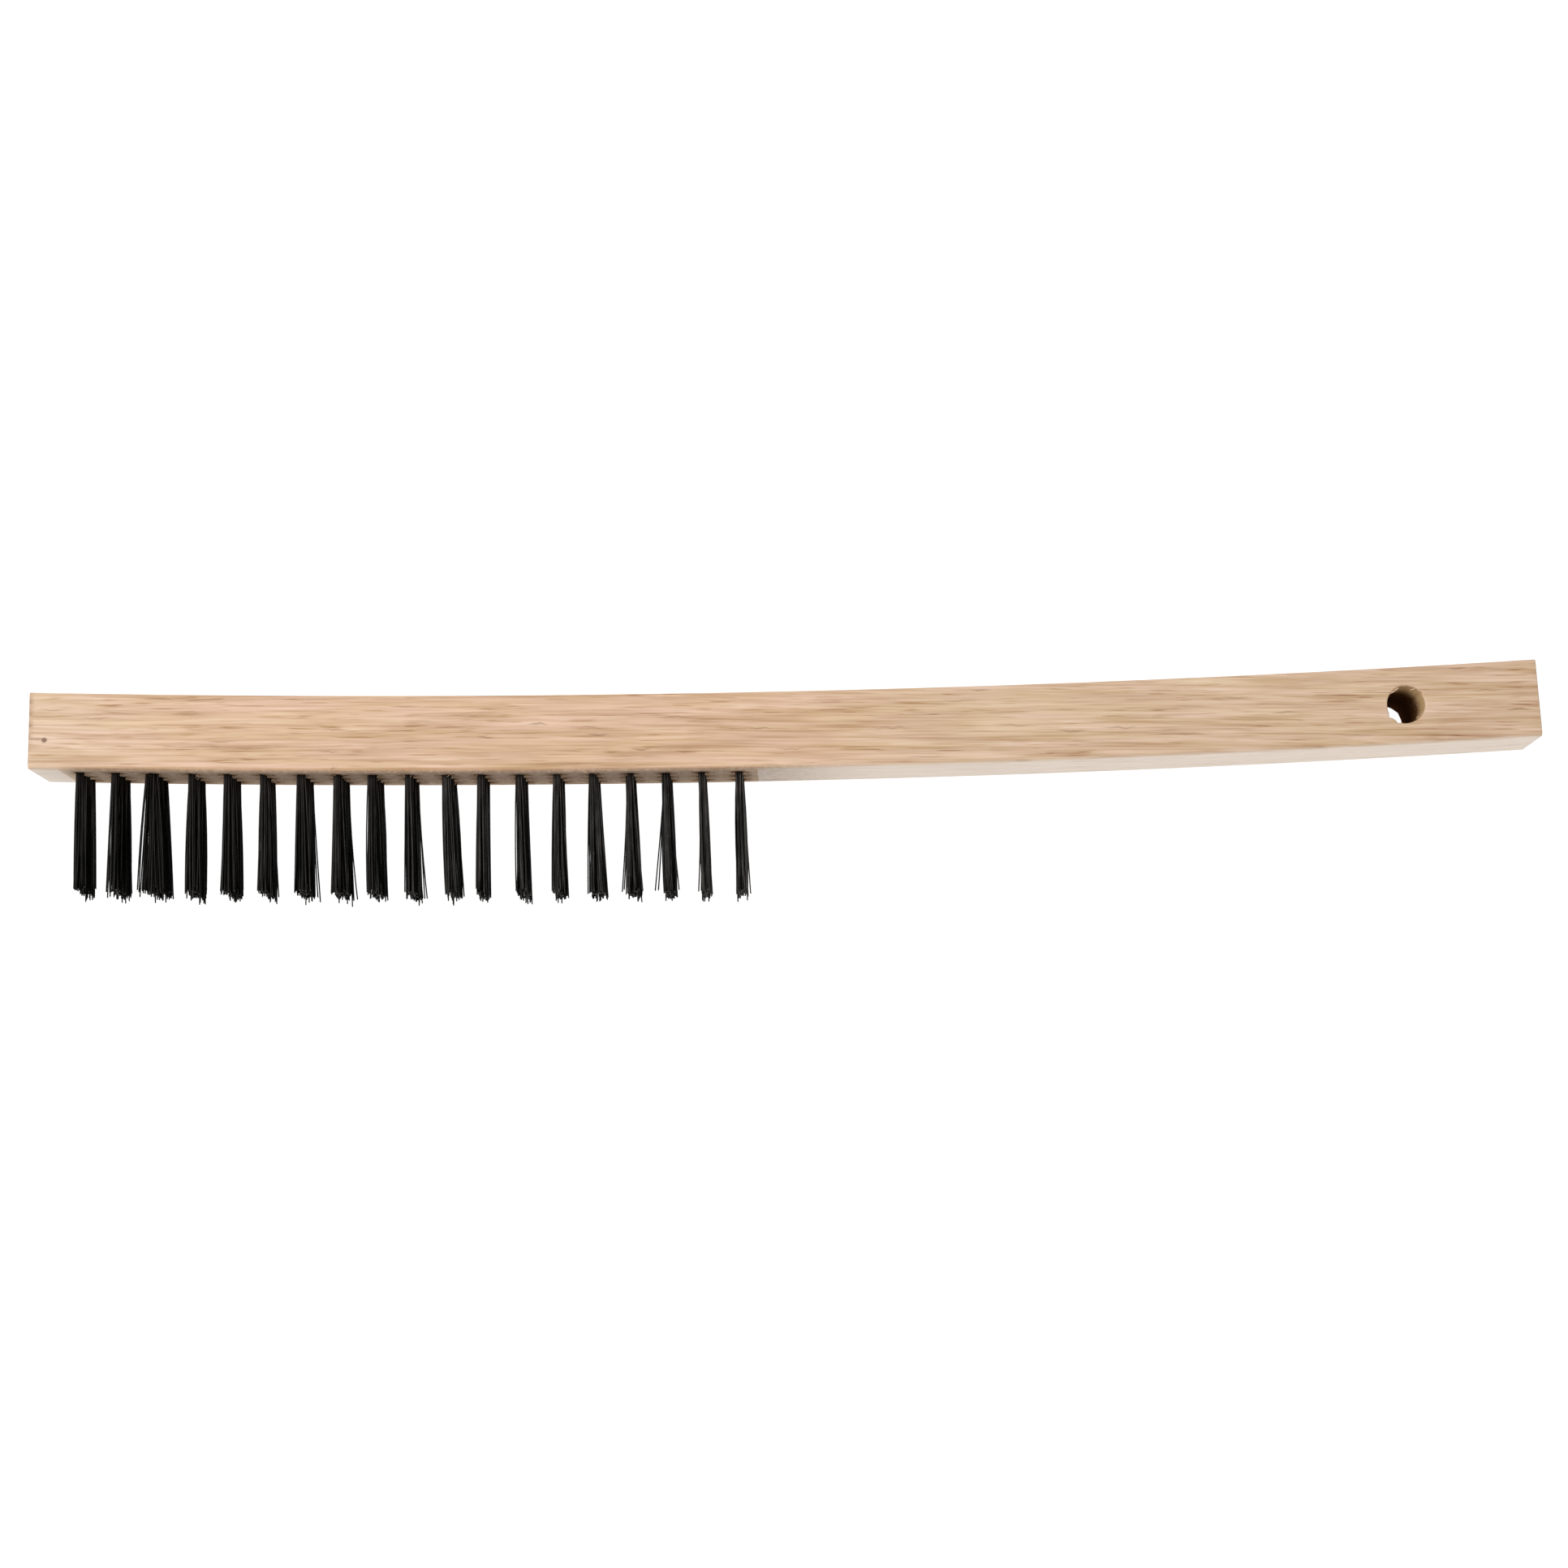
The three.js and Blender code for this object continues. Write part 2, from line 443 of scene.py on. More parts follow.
def grain_dash_group():
    """One dark dash along X: 1 on the middle of a long ellipsoid and 0 at its rim, a few
    millimetres deep."""
    tree, given, result = new_group(
        "grain dash",
        {
            "Place": ("vector", None),
            "Centre": ("vector", (0.0, 0.0, 0.0)),
            "Half Length": ("value", 3.0),
            "Half Width": ("value", 0.3),
        },
        {"Dash": "value"},
    )
    offset = vector_maths(tree, "SUBTRACT", given["Place"], given["Centre"])
    size = add_node(
        tree, "ShaderNodeCombineXYZ", {"X": given["Half Length"], "Y": given["Half Width"], "Z": 3.0}
    )
    reach = vector_length(tree, vector_maths(tree, "DIVIDE", offset, size.outputs[0]))
    inside = arithmetic(tree, "SUBTRACT", 1.0, smooth_step(tree, reach, 0.2, 1.0))
    tree.links.new(inside, result["Dash"])
    return tree


GRAIN_DASH = grain_dash_group()


def grain_dashes(tree, place):
    """The strongest of the dashes at a place, made ragged by short noise across the grain."""
    ragged = use_group(tree, SWAY, {"Place": place, "Length": 2.2, "Amount": 0.9})["Place"]
    strongest = 0.0
    for along, out, half_length, half_width, strength in dash_sizes():
        values = {
            "Place": ragged,
            "Centre": tuple(on_bar(along * MM, out * MM, BAR_WIDTH) / MM),
            "Half Length": half_length,
            "Half Width": half_width,
        }
        dash = arithmetic(tree, "MULTIPLY", use_group(tree, GRAIN_DASH, values)["Dash"], strength)
        strongest = arithmetic(tree, "MAXIMUM", dash, strongest)
    return strongest


def long_grain_group():
    """The sanded long grain at a place in millimetres: its colour, and Dark, which is 1 in the
    pores and checks. The tone is the middle of the ramp plus each layer's share of itself."""
    tree, given, result = new_group(
        "hardwood long grain",
        {"Place": ("vector", None)},
        {"Colour": "colour", "Dark": "value", "Tone": "value", "Early": "value"},
    )
    place = use_group(tree, SWAY, {"Place": given["Place"], "Length": 110.0, "Amount": 1.7})["Place"]
    early = use_group(tree, GROWTH_RINGS, {"Place": place})["Early"]
    tone = arithmetic(tree, "MULTIPLY_ADD", early, -0.04, 0.55)
    for length, thickness, shift, detail, cut, weight in GRAIN_LAYERS:
        layer = streaks(tree, place, length, thickness, shift, cut, detail)
        centred = arithmetic(tree, "SUBTRACT", layer, 0.5 if cut[0] < 0.5 else 0.0)
        tone = arithmetic(tree, "MULTIPLY_ADD", centred, weight, tone)

    crowd = streaks(tree, place, 34, 2.6, 9.3, (0.40, 0.62))
    crowd = arithmetic(tree, "MULTIPLY_ADD", crowd, 0.85, 0.15)
    pores = streaks(tree, place, 6.5, 0.42, 2.9, (0.57, 0.72), 0.5)
    pores = arithmetic(tree, "MULTIPLY", pores, crowd)
    checks = streaks(tree, place, 10, 0.38, 4.4, (0.71, 0.80), 0.0)
    dark = arithmetic(tree, "MULTIPLY_ADD", pores, 0.55, checks, clamp=True)
    tone = arithmetic(tree, "MULTIPLY_ADD", pores, -0.22, tone)
    tone = arithmetic(tree, "MULTIPLY_ADD", checks, -0.24, tone, clamp=True)
    colour = colour_ramp(tree, tone, GRAIN_TONES)
    hue = streaks(tree, place, 26, 2.4, 8.4, (0.34, 0.66), 2.0)
    tint = mix_colour(tree, hue, PINK_TINT, OLIVE_TINT)
    colour = mix_colour(tree, 1.0, colour, tint, "MULTIPLY")
    for name, value in (("Colour", colour), ("Dark", dark), ("Tone", tone), ("Early", early)):
        tree.links.new(value, result[name])
    return tree


LONG_GRAIN = long_grain_group()


def bare_hardwood(name, specular):
    """Sanded, unfinished hardwood whose grain runs straight along X, whatever the bend."""
    material, tree, shader = new_material(name)
    shader.inputs["Specular IOR Level"].default_value = specular
    place = object_place(tree)
    grain = use_group(tree, LONG_GRAIN, {"Place": place})
    colour = mix_colour(tree, grain_dashes(tree, place), grain["Colour"], DASH_BROWN)
    knot = near(tree, place, PIN_KNOT, (0.80, 0.72, 0.9))
    knot_tail = arithmetic(tree, "MULTIPLY", near(tree, place, PIN_KNOT_TAIL, (2.6, 0.5, 0.9)), 0.35)
    knot = arithmetic(tree, "MULTIPLY", arithmetic(tree, "MAXIMUM", knot, knot_tail), 0.85)
    colour = mix_colour(tree, knot, colour, KNOT_BROWN)
    # The board is warmer in colour in the middle of the head.
    warm = mix_colour(tree, 1.0, colour, WARM_TINT, "MULTIPLY")
    colour = mix_colour(tree, near(tree, place, WARM_MIDDLE, WARM_SIZE), colour, warm)

    # The face with the tufts is smoother than the sanded sides, and painted paler and greyer: a painted
    # sheen for the grazing reflection on it.
    tufted_face = point_value(tree, "tufted_face")
    colour = mix_colour(tree, arithmetic(tree, "MULTIPLY", tufted_face, 0.45), colour, SHEEN_TINT)

    # The sawn ends show the rings and open pores, darker than the long grain.
    end = point_value(tree, "end_grain")
    cells = add_node(tree, "ShaderNodeTexVoronoi", {"Vector": place, "Scale": 2.6})
    dots = arithmetic(tree, "SUBTRACT", 1.0, smooth_step(tree, cells.outputs["Distance"], 0.1, 0.32))
    end_colour = mix_colour(tree, grain["Early"], END_LATE, END_EARLY)
    end_colour = mix_colour(tree, arithmetic(tree, "MULTIPLY", dots, 0.4), end_colour, WOOD_CHECK)
    colour = mix_colour(tree, arithmetic(tree, "MULTIPLY", end, 0.85), colour, end_colour)

    # Painted shade: the face between the tufts is darkened, most round each tuft hole, where the tufts'
    # shade falls.
    patchy = smooth_step(tree, noise_at(tree, place, 0.9, 3.0)["Fac"], 0.30, 0.62)
    patchy = arithmetic(tree, "MULTIPLY_ADD", patchy, 0.45, 0.55)
    painted_shade = arithmetic(tree, "MULTIPLY", point_value(tree, "painted_shade"), patchy)
    colour = mix_colour(tree, painted_shade, colour, PAINTED_SHADE_BROWN)
    tree.links.new(colour, shader.inputs["Base Color"])

    rough = arithmetic(tree, "MULTIPLY_ADD", grain["Dark"], 0.25, 0.50)
    rough = arithmetic(tree, "MULTIPLY_ADD", tufted_face, -0.14, rough)
    rough = arithmetic(tree, "MULTIPLY_ADD", painted_shade, 0.3, rough)
    tree.links.new(rough, shader.inputs["Roughness"])
    lift = arithmetic(tree, "MULTIPLY", grain["Tone"], 0.8)
    lift = arithmetic(tree, "SUBTRACT", lift, grain["Dark"])
    saw_marks = arithmetic(tree, "MULTIPLY", noise_at(tree, place, 2.2, 4.0)["Fac"], end)
    lift = arithmetic(tree, "MULTIPLY_ADD", saw_marks, 2.0, lift)
    bump = add_node(tree, "ShaderNodeBump", {"Height": lift, "Strength": 0.28, "Distance": 0.1 * MM})
    tree.links.new(bump.outputs["Normal"], shader.inputs["Normal"])
    return material


def drilled_hardwood():
    """The walls of the holes: cut across the grain, and painted darker deeper in, as painted shade."""
    material, tree, shader = new_material("drilled hardwood")
    place = object_place(tree)
    grain = use_group(tree, LONG_GRAIN, {"Place": place})
    cut = mix_colour(tree, 0.75, grain["Colour"], DRILLED_WOOD)
    wall_noise = noise_at(tree, place, 0.8, 3.0)["Fac"]
    patchy = arithmetic(tree, "MULTIPLY_ADD", wall_noise, 0.5, -0.25)
    # Painted shade: the walls are darker deeper in, made patchy by the noise.
    painted_hole_shade = point_value(tree, "painted_hole_shade")
    painted_hole_shade = arithmetic(tree, "ADD", painted_hole_shade, arithmetic(tree, "MULTIPLY", patchy, painted_hole_shade), clamp=True)
    colour = mix_colour(tree, painted_hole_shade, cut, HOLE_SHADE_BROWN)
    colour = mix_colour(tree, point_value(tree, "painted_deep_shade"), colour, DEEP_HOLE_SHADE_BROWN)
    tree.links.new(colour, shader.inputs["Base Color"])
    tree.links.new(arithmetic(tree, "MULTIPLY_ADD", painted_hole_shade, -0.1, 0.85), shader.inputs["Roughness"])
    shader.inputs["Specular IOR Level"].default_value = 0.0
    given = {"Height": wall_noise, "Strength": 0.5, "Distance": 0.2 * MM}
    bump = add_node(tree, "ShaderNodeBump", given)
    tree.links.new(bump.outputs["Normal"], shader.inputs["Normal"])
    return material


def blackened_wire():
    """Black steel wire, with a dull sheen that changes from wire to wire."""
    material, tree, shader = new_material("black steel wire")
    place = object_place(tree)
    tone = point_value(tree, "wire_tone")
    scale = vector_maths(tree, "MULTIPLY", place, (1.6, 0.22, 1.6))
    share = smooth_step(tree, noise_at(tree, scale, 1.0, 3.0)["Fac"], 0.35, 0.7)
    share = arithmetic(tree, "MULTIPLY_ADD", tone, 0.6, arithmetic(tree, "MULTIPLY", share, 0.4))
    colour = mix_colour(tree, share, WIRE_BLACK, WIRE_GREY)
    # Painted highlight: lighter streaks run along the wires.
    streak_place = vector_maths(tree, "MULTIPLY", place, (5.0, 1.1, 5.0))
    highlight_streaks = smooth_step(tree, noise_at(tree, streak_place, 1.0)["Fac"], 0.68, 0.80)
    colour = mix_colour(tree, arithmetic(tree, "MULTIPLY", highlight_streaks, 0.5), colour, WIRE_STREAK_HIGHLIGHT)
    # Painted shade: the wires are browner within 2 mm of the wood.
    root_shade = arithmetic(tree, "MULTIPLY", point_value(tree, "by_the_wood"), 0.5)
    colour = mix_colour(tree, root_shade, colour, WIRE_BROWN)
    tree.links.new(colour, shader.inputs["Base Color"])
    rough = arithmetic(tree, "MULTIPLY_ADD", share, -0.15, 0.48)
    tree.links.new(rough, shader.inputs["Roughness"])
    shader.inputs["Metallic"].default_value = 0.85
    shader.inputs["Specular IOR Level"].default_value = 0.3
    return material


def cut_steel():
    """The sheared faces at the wire tips, and the anchors: plain steel, a little dull."""
    material, tree, shader = new_material("cut steel")
    mottle = noise_at(tree, object_place(tree), 2.5)["Fac"]
    colour = mix_colour(tree, mottle, STEEL_DARK, STEEL_LIGHT)
    tree.links.new(colour, shader.inputs["Base Color"])
    rough = arithmetic(tree, "MULTIPLY_ADD", mottle, 0.3, 0.35)
    tree.links.new(rough, shader.inputs["Roughness"])
    shader.inputs["Metallic"].default_value = 0.8
    return material


PIN_KNOT = tuple(on_bar(3.6 * MM, 2.2 * MM, BAR_WIDTH) / MM)
PIN_KNOT_TAIL = tuple(on_bar(2.2 * MM, 2.0 * MM, BAR_WIDTH) / MM)
WARM_MIDDLE = tuple(on_bar(108 * MM, 0.0, BAR_WIDTH / 2) / MM)
WARM_SIZE = (108, 90, 90)
HARDWOOD = bare_hardwood("bare hardwood", 0.5)
# The same hardwood with no specular reflection, for the tufted face by the tufts, where the painted shade
# lies.
PAINTED_SHADE_HARDWOOD = bare_hardwood("hardwood under painted shade", 0.0)
DRILLED = drilled_hardwood()
WIRE = blackened_wire()
CUT_STEEL = cut_steel()


# ---------------------------------------------------------------- the handle block
ACROSS_STEPS = 6  # of a tuft cell, across the rows
CELL_STEPS = 8  # of a tuft cell, along the bar
HANG_CELL_ALONG = 8.0 * MM  # half the square patch round the hang hole, along the bar
HANG_CELL_OUT = 6.6 * MM
HANG_STEPS_ALONG = 24
HANG_STEPS_OUT = 20
EASE_STEPS = 4


def stations(*stops):
    """One rising list of numbers from (value, steps to the next value) stops."""
    parts = [np.linspace(a, b, steps + 1)[:-1] for (a, steps), (b, _) in zip(stops, stops[1:])]
    return np.concatenate([*parts, [stops[-1][0]]])


TUFTS_START = NOSE_TO_FIRST_COLUMN - COLUMN_PITCH / 2
TUFTS_END = TUFTS_START + COLUMNS * COLUMN_PITCH
TUFTS_LOW = BAR_WIDTH / 2 - 1.5 * ROW_PITCH
TUFTS_HIGH = BAR_WIDTH / 2 + 1.5 * ROW_PITCH
ALONG = stations(
    (END_EASE, 7),
    (TUFTS_START, CELL_STEPS * COLUMNS),
    (TUFTS_END, 70),
    (HANG_HOLE_ALONG - HANG_CELL_ALONG, HANG_STEPS_ALONG),
    (HANG_HOLE_ALONG + HANG_CELL_ALONG, 14),
    (BAR_LENGTH - END_EASE, 0),
)


def section():
    """The bar's cross-section, all the way round: the point (out, up), how far it is eased, and
    the outward direction. Each side is a straight line and each corner a quarter circle."""
    up = stations((0, 2), (TUFTS_LOW, 3 * ACROSS_STEPS), (TUFTS_HIGH, 2), (BAR_WIDTH, 0))
    out = stations((-HALF, 3), (-HANG_CELL_OUT, HANG_STEPS_OUT), (HANG_CELL_OUT, 3), (HALF, 0))
    front = np.clip(up, FRONT_EASE, BAR_WIDTH - FRONT_EASE)
    back = np.clip(up[::-1], BACK_EASE, BAR_WIDTH - BACK_EASE)
    side = np.clip(out, BACK_EASE - HALF, HALF - FRONT_EASE)
    sides = (
        (np.stack([np.full_like(front, HALF), front], 1), 0.0, FRONT_EASE),
        (np.stack([side[::-1], np.full_like(side, BAR_WIDTH)], 1), math.pi / 2, BACK_EASE),
        (np.stack([np.full_like(back, -HALF), back], 1), math.pi, BACK_EASE),
        (np.stack([side, np.zeros_like(side)], 1), 1.5 * math.pi, FRONT_EASE),
    )
    quarter = np.linspace(0, math.pi / 2, EASE_STEPS + 1)[1:-1]
    points, facing = [], []
    for line, angle, ease in sides:
        turned = angle + quarter
        centre = line[-1] - ease * np.array([math.cos(angle), math.sin(angle)])
        corner = centre + ease * np.stack([np.cos(turned), np.sin(turned)], 1)
        points += [line, corner]
        facing += [np.full(len(line), angle), turned]
    facing = np.concatenate(facing)
    return np.concatenate(points), np.stack([np.cos(facing), np.sin(facing)], axis=1)


def skin():
    """The bar's long surface with its eased ends, as station x point of (along, out, up): the
    section at each station, and over an end drawn in along a quarter circle."""
    points, facing = section()
    quarter = np.linspace(0, math.pi / 2, EASE_STEPS + 1)[1:]
    dip = END_EASE * (1 - np.sin(quarter))
    draw_in = END_EASE * (1 - np.cos(quarter))
    along = np.concatenate([dip[::-1], ALONG, BAR_LENGTH - dip])
    inset = np.concatenate([draw_in[::-1], np.zeros(len(ALONG)), draw_in])
    across = points[None] - facing[None] * inset[:, None, None]
    along = np.broadcast_to(along[:, None, None], across.shape[:2] + (1,))
    return np.concatenate([along, across], axis=2)


def cell(hole, half, steps, radius, rings):
    """A flat rectangular patch with a hole: rings that go from the hole's rim to the
    rectangle's edge along straight spokes, as two arrays of ring x spoke. hole is its centre,
    half the rectangle's half-sizes, and radius may be a function of the spoke's angle."""
    edge_a = np.linspace(-half[0], half[0], steps[0] + 1)
    edge_b = np.linspace(-half[1], half[1], steps[1] + 1)
    a = np.concatenate([
        edge_a[:-1], np.full(steps[1], half[0]), edge_a[:0:-1], np.full(steps[1], -half[0]),
    ])
    b = np.concatenate([
        np.full(steps[0], -half[1]), edge_b[:-1], np.full(steps[0], half[1]), edge_b[:0:-1],
    ])
    angle = np.arctan2(b - hole[1], a - hole[0])
    reach = radius(angle) if callable(radius) else np.full_like(angle, radius)
    circle_a = hole[0] + np.cos(angle) * reach
    circle_b = hole[1] + np.sin(angle) * reach
    share = rings[:, None]
    return circle_a + (a - circle_a) * share, circle_b + (b - circle_b) * share


SANDED, HOLE_WALL, PAINTED_SHADE_FACE = 0, 1, 2  # the block's materials


def ring_patch(rings, kind):
    """The points, faces and material of a surface given as ring x spoke, closed all round."""
    return rings.reshape(-1, 3), grid_quads(*rings.shape[:2], closed=True), kind


def tuft_hole(row, column, rng):
    """The cell round one tuft hole, with its mouth's edge broken and a few fibres raised, and
    the hole's wall and the drill's cone below it."""
    hole = (COLUMN_WANDER[column] * MM, 0.12 * MM * rng.normal())
    rings = np.array([0, 0.05, 0.13, 0.3, 0.6, 1.0])
    a, b = cell(
        hole, (COLUMN_PITCH / 2, ROW_PITCH / 2), (CELL_STEPS, ACROSS_STEPS), TUFT_HOLE_RADIUS, rings
    )
    burr = 0.16 * MM * rng.random(a.shape[1]) ** 4
    height = np.full_like(a, HALF)
    height[0] -= 0.10 * MM - burr
    height[1] += burr * 0.8
    flat = np.stack([a + tuft_along(column), height, b + tuft_up(row)], axis=-1)
    bottom = TUFT_HOLE_DEPTH
    depth = np.array([0, 0.3 * MM, 2 * MM, 6 * MM, bottom, bottom + DRILL_POINT])[:, None]
    width = np.array([1, 0.99, 0.99, 0.99, 0.99, 0])[:, None]
    wall = np.stack([
        (a[0] - hole[0]) * width + hole[0] + tuft_along(column),
        np.broadcast_to(HALF - depth, (len(depth), a.shape[1])),
        (b[0] - hole[1]) * width + hole[1] + tuft_up(row),
    ], axis=-1)
    wall[0, :, 1] = height[0]
    return [ring_patch(flat, SANDED), ring_patch(wall, HOLE_WALL)]


def worn_rim(strength):
    """The hang hole's radius round its rim: a circle with a few chips and a slight waviness."""
    def radius(angle):
        waves = 0.05 * np.sin(3 * angle + 1.0) + 0.03 * np.sin(7 * angle + 2.0)
        chips = sum(
            size * np.exp(-(np.angle(np.exp(1j * (angle - at))) / width) ** 2)
            for at, size, width in ((2.55, 0.42, 0.10), (2.05, 0.30, 0.09), (-0.6, 0.25, 0.12))
        )
        return HANG_HOLE_RADIUS + strength * (waves + chips) * MM
    return radius


def hang_hole():
    """A cell on each flat side and the wall between them, which drifts as it goes down. The
    mouths are eased over a quarter circle, and a little chipped."""
    parts, mouths = [], []
    ease = 0.35 * MM
    rings = np.array([0, 0.04, 0.1, 0.2, 0.35, 0.6, 1.0])
    for up, hole, inward, strength in (
        (BAR_WIDTH, UPPER_MOUTH_OFF, -1, 1.0),
        (0.0, LOWER_MOUTH_OFF, 1, 0.6),
    ):
        a, b = cell(
            hole,
            (HANG_CELL_ALONG, HANG_CELL_OUT),
            (HANG_STEPS_ALONG, HANG_STEPS_OUT),
            lambda angle, k=strength: worn_rim(k)(angle) + ease,
            rings,
        )
        flat = np.stack([a + HANG_HOLE_ALONG, b, np.full_like(a, up)], axis=-1)
        parts.append(ring_patch(flat, SANDED))
        centre = np.array([hole[0] + HANG_HOLE_ALONG, hole[1], up])
        outward = flat[0] - centre
        outward /= np.linalg.norm(outward, axis=1, keepdims=True)
        turn = np.linspace(0, math.pi / 2, 4)[:, None, None]
        lip = flat[0] - outward * ease * np.sin(turn)
        lip = lip + np.array([0, 0, inward]) * ease * (1 - np.cos(turn))
        parts.append(ring_patch(lip, SANDED))
        mouths.append(lip[-1])
    share = np.linspace(0, 1, 20)[:, None, None]
    parts.append(ring_patch(mouths[0] * (1 - share) + mouths[1] * share, HOLE_WALL))
    return parts


def block_surfaces():
    """Every patch of the block as (points, faces, material), still straight, and the two flat
    end faces as rounds of the first patch's points."""
    long_skin = skin()
    points = long_skin.reshape(-1, 3)
    quads = grid_quads(*long_skin.shape[:2], closed=True)
    middle = points[quads].mean(axis=1)
    under_tufts = (
        (middle[:, 1] > HALF - 1e-6)
        & (middle[:, 0] > TUFTS_START)
        & (middle[:, 0] < TUFTS_END)
        & (middle[:, 2] > TUFTS_LOW)
        & (middle[:, 2] < TUFTS_HIGH)
    )
    on_flat_side = (middle[:, 2] < 1e-6) | (middle[:, 2] > BAR_WIDTH - 1e-6)
    round_hang_hole = (
        on_flat_side
        & (np.abs(middle[:, 0] - HANG_HOLE_ALONG) < HANG_CELL_ALONG)
        & (np.abs(middle[:, 1]) < HANG_CELL_OUT)
    )
    surfaces = [(points, quads[~(under_tufts | round_hang_hole)], SANDED)]
    rng = np.random.default_rng(SEED)
    for row in range(len(ROWS)):
        for column in range(COLUMNS):
            surfaces += tuft_hole(row, column, rng)
    surfaces += hang_hole()
    ends = np.arange(long_skin.shape[1])
    end_faces = [ends.tolist(), (ends + len(points) - len(ends)).tolist()]
    return surfaces, end_faces


def end_grain_and_painted_shade(block):
    """Masks for the block's material, from each point's place in the straight bar: end_grain grows over
    the easing of an end, two masks paint shade on the drilled walls, deeper being darker, and the painted
    shade between the tufts falls off with the distance from the nearest tuft hole."""
    mesh = block.data
    place = np.zeros(len(mesh.vertices) * 3, np.float32)
    mesh.vertices.foreach_get("co", place)
    along, out, up = off_bar(place.reshape(-1, 3).astype(float))
    to_end = np.minimum(along, BAR_LENGTH - along)
    store_on_points(mesh, "end_grain", 1 - rise(to_end, 0.0, END_EASE))

    share = up / BAR_WIDTH
    hole_along = HANG_HOLE_ALONG + UPPER_MOUTH_OFF[0] * share + LOWER_MOUTH_OFF[0] * (1 - share)
    hole_out = UPPER_MOUTH_OFF[1] * share + LOWER_MOUTH_OFF[1] * (1 - share)
    from_hang_hole = np.hypot(along - hole_along, out - hole_out)
    depth = np.minimum(up, BAR_WIDTH - up)
    hang_wall = (from_hang_hole < HANG_HOLE_RADIUS + 0.8 * MM) & (depth > 0.2 * MM)
    # Painted shade: the hang hole's wall is darker further down from its upper mouth, and each tuft
    # hole's wall below its mouth.
    drilled = BAR_WIDTH - up
    painted_hole_shade = hang_wall * rise(drilled, 3.0 * MM, 9.0 * MM)
    store_on_points(mesh, "painted_deep_shade", hang_wall * rise(drilled, 8.0 * MM, 18.0 * MM))
    in_tuft_hole = rise(HALF - out, 0.2 * MM, 2.5 * MM) * (depth > 3.5 * MM)
    in_tuft_hole *= (along < TUFTS_END) & (to_end > 1.5 * MM)
    store_on_points(mesh, "painted_hole_shade", np.maximum(painted_hole_shade, 0.9 * in_tuft_hole))

    # Painted shade between the tufts: half strength all over the tufted face there, nearly full at each
    # hole's rim, fading out 2.5 mm from it and past the last column.
    column = np.clip(np.rint((along - NOSE_TO_FIRST_COLUMN) / COLUMN_PITCH), 0, COLUMNS - 1)
    hole_along = drilled_along(column.astype(int))
    row = np.clip(np.rint(1 - (up - BAR_WIDTH / 2) / ROW_PITCH), 0, len(ROWS) - 1)
    from_hole = np.hypot(along - hole_along, up - tuft_up(row)) - TUFT_HOLE_RADIUS
    painted_shade = 0.50 + 0.48 * (1 - rise(from_hole, 0.0, 2.5 * MM))
    painted_shade *= rise(out, HALF - 0.9 * MM, HALF - 0.3 * MM)
    first, last = tuft_along(0), tuft_along(COLUMNS - 1)
    painted_shade *= rise(along, first - 5 * MM, first) * (1 - rise(along, last, last + 34 * MM))
    store_on_points(mesh, "painted_shade", painted_shade)
    store_on_points(mesh, "tufted_face", rise(out, HALF - 0.5 * MM, HALF - 0.05 * MM))


def handle_block():
    surfaces, faces = block_surfaces()
    kinds = [SANDED] * len(faces)
    points, start = [], 0
    for part_points, part_faces, kind in surfaces:
        along, out = part_points[part_faces[:, 0], :2].T
        by_tufts = (out > HALF - 0.7 * MM) & (along >= TUFTS_START) & (along < TUFTS_END)
        points.append(part_points)
        faces += (part_faces + start).tolist()
        kinds += np.where(by_tufts & (kind == SANDED), PAINTED_SHADE_FACE, kind).tolist()
        start += len(part_points)
    straight = np.concatenate(points)
    # The nose is sawn a little out of square: its back corner stands proud.
    proud = NOSE_SKEW * (0.5 - straight[:, 1] / BAR_HEIGHT)
    straight[:, 0] -= proud * (1 - rise(straight[:, 0], 0.0, 6 * MM))
    bent = on_bar(straight[:, 0], straight[:, 1], straight[:, 2])
    materials = [HARDWOOD, DRILLED, PAINTED_SHADE_HARDWOOD]
    block = make_piece("hardwood_block", bent, faces, materials, kinds, weld=True, sharp=42)
    end_grain_and_painted_shade(block)
    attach(block, "root")
    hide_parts("handle_block")
    return block


def slivers(starts, ahead, lengths, radius, rng):
    """Thin spindles of torn wood, as sliver x station x side of (along, out, up): a line from
    each start, curling up as the square of the way along it, with a round section whose radius
    is the root of a half sine."""
    steps, sides = 6, 4
    share = np.linspace(0, 1, steps)
    curl = rng.normal(0, 0.25, (len(starts), 1, 3)) * (share ** 2)[None, :, None]
    line = ahead[:, None, :] * share[None, :, None] + curl
    middle = starts[:, None, :] + line * lengths[:, None, None]
    side = np.cross(ahead, [0.31, 0.52, 0.79])
    side /= np.linalg.norm(side, axis=1, keepdims=True)
    other = np.cross(ahead, side)
    angle = np.arange(sides) / sides * 2 * math.pi
    ring = side[:, None, None] * np.cos(angle)[:, None] + other[:, None, None] * np.sin(angle)[:, None]
    thick = radius[:, None] * np.sqrt(np.sin(math.pi * share))[None]
    points = middle[:, :, None] + ring * thick[:, :, None, None]
    one = grid_quads(steps, sides, closed=True)
    start = np.arange(len(starts)) * steps * sides
    return points.reshape(-1, 3), (one[None] + start[:, None, None]).reshape(-1, 4)[:, ::-1]


